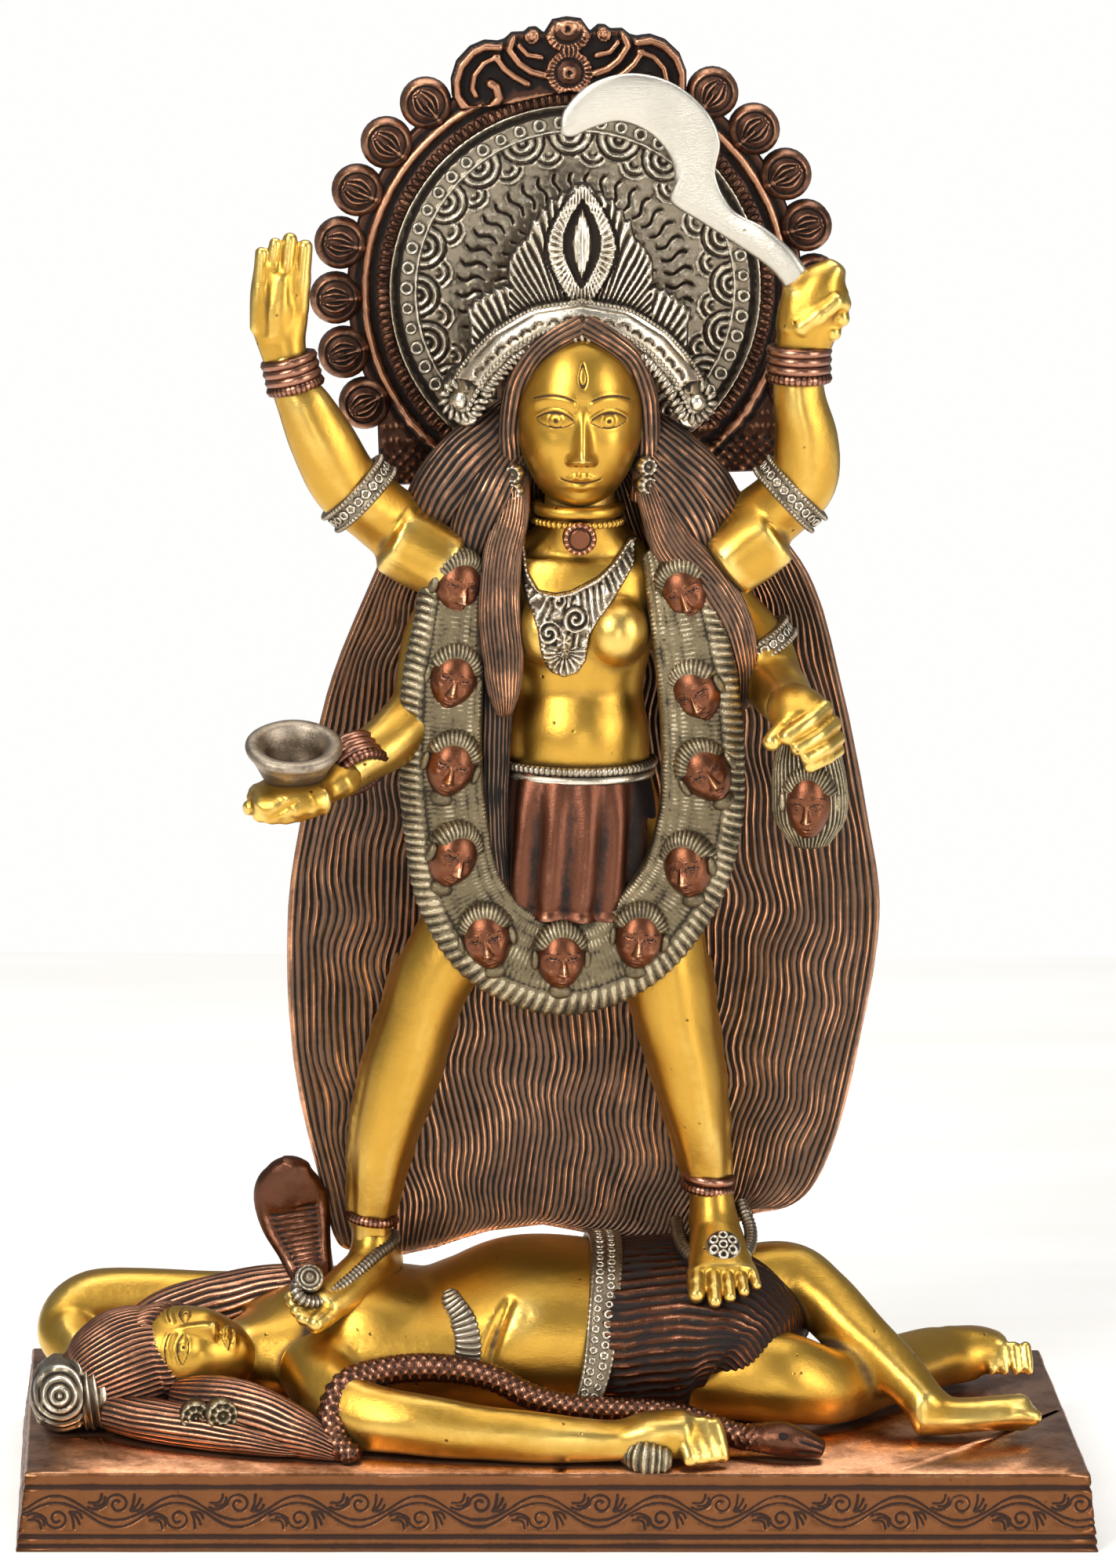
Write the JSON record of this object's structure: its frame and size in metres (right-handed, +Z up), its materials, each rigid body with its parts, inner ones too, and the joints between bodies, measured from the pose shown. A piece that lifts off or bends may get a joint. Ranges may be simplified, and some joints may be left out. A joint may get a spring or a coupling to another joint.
{
  "type": "four-armed goddess figure",
  "caption": "Cast brass figure group: a four-armed goddess with a long hair cape, garland, halo, sword and bowl stands on a reclining god on a rectangular plinth.",
  "frame": {"origin": "middle of the plinth's underside", "axes": "+Z up, +X to the viewer's right (the goddess's left), +Y away from the viewer"},
  "size_m": [0.224, 0.098, 0.3121],
  "materials": {
    "plinth_brown": "warm copper-brown patina on brass, worn bright at the edges, engraved",
    "lying_gold": "polished gold brass with brown in the crevices",
    "gold_brass": "polished gold brass with brown in the crevices",
    "copper_brown": "dark copper-brown patina with bright copper ridges",
    "antique_silver": "antiqued silver plating, dark in the hollows",
    "halo_brown": "dark copper-brown patina with bright copper ridges",
    "sword_silver": "satin silver with a few casting pits"
  },
  "bodies": {
    "root": {"plinth": "plinth_brown", "reclining_god": "lying_gold", "standing_goddess": "gold_brass", "halo": "halo_brown", "sword": "sword_silver"}
  },
  "joints": []
}
